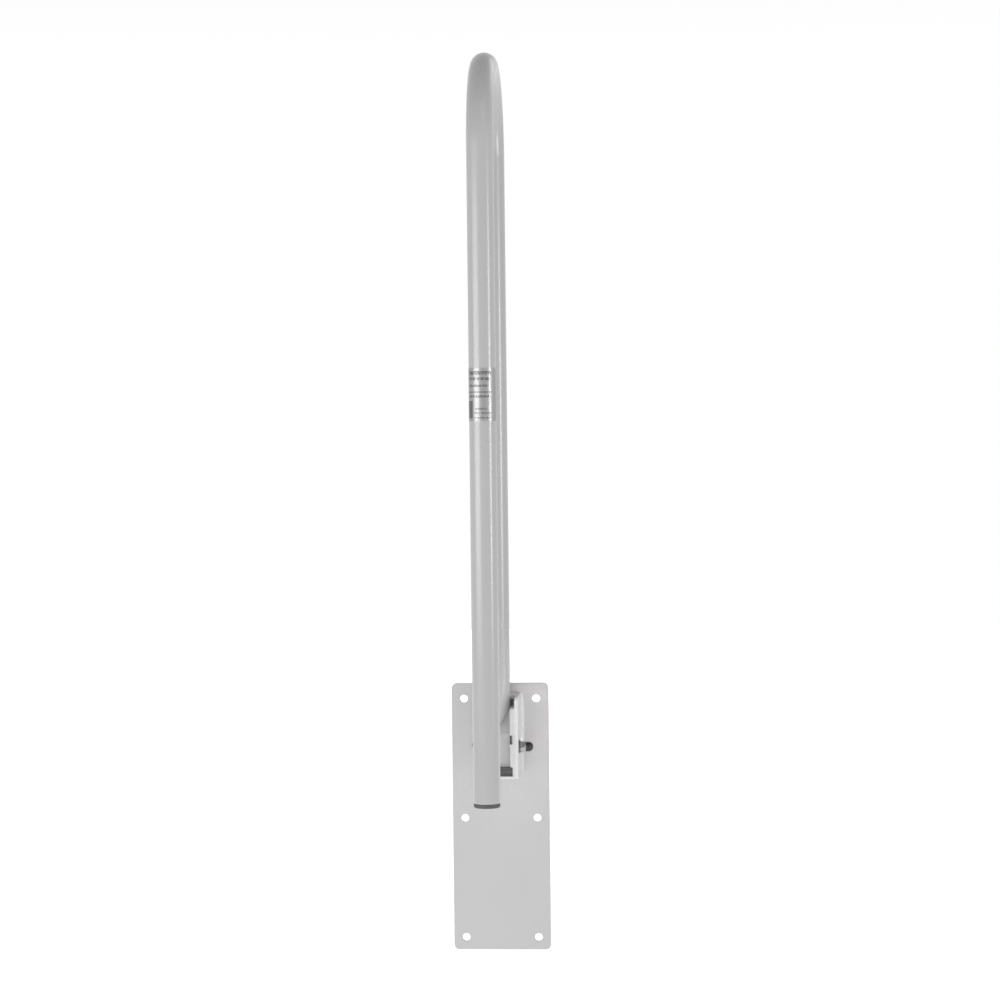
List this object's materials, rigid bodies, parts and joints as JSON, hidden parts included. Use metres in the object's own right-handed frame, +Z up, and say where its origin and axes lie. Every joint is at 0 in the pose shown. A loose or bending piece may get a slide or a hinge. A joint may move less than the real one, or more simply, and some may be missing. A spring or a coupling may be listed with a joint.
{
  "type": "fold-down grab rail",
  "caption": "Wall-mounted fold-down grab rail: a hairpin of round tube hinged in a welded bracket on a screw plate, with a rubber end stop; stored raised.",
  "frame": {"origin": "on the wall, at the middle of the back face of the wall plate", "axes": "+X to the right along the pivot, +Y into the wall, +Z up; the raised arm stands along +Z in front of the wall, and lowers towards -Y"},
  "size_m": [0.124, 0.2747, 1.12],
  "materials": {
    "powder_coat": "satin powder coat, light grey",
    "arm_powder_coat": "satin powder coat, light grey",
    "liner_plastic": "matte moulded, light grey",
    "dark_rubber": "moulded dark grey rubber",
    "bright_steel": "polished stainless",
    "washer_steel": "plain zinc",
    "bush_bronze": "plain bronze",
    "label_foil": "brushed silver foil"
  },
  "bodies": {
    "wall_bracket": {"wall_plate": "powder_coat", "bracket_flange_left": "powder_coat", "bracket_flange_right": "powder_coat", "bracket_tie_plate": "powder_coat", "bracket_floor": "powder_coat", "flange_weld_left": "powder_coat", "flange_weld_right": "powder_coat", "floor_weld": "powder_coat", "slide_liner_left": "liner_plastic", "slide_liner_right": "liner_plastic", "raised_stop_pad": "dark_rubber", "pivot_bolt": "bright_steel", "head_washer": "washer_steel", "nut_washer": "washer_steel", "cap_nut": "bright_steel"},
    "arm": {"arm_tube": "arm_powder_coat", "knuckle_web": "arm_powder_coat", "knuckle_side_left": "arm_powder_coat", "knuckle_side_right": "arm_powder_coat", "knuckle_cap": "arm_powder_coat", "tongue_weld": "arm_powder_coat", "pivot_sleeve": "arm_powder_coat", "pivot_bush_left": "bush_bronze", "pivot_bush_right": "bush_bronze", "end_bumper": "dark_rubber", "rating_label": "label_foil"}
  },
  "joints": [
    {"name": "arm_fold", "type": "hinge", "parent": "wall_bracket", "child": "arm", "pos_m": [0, -0.0515, 0.095], "axis": [1, 0, 0], "range_deg": [0, 90]}
  ]
}
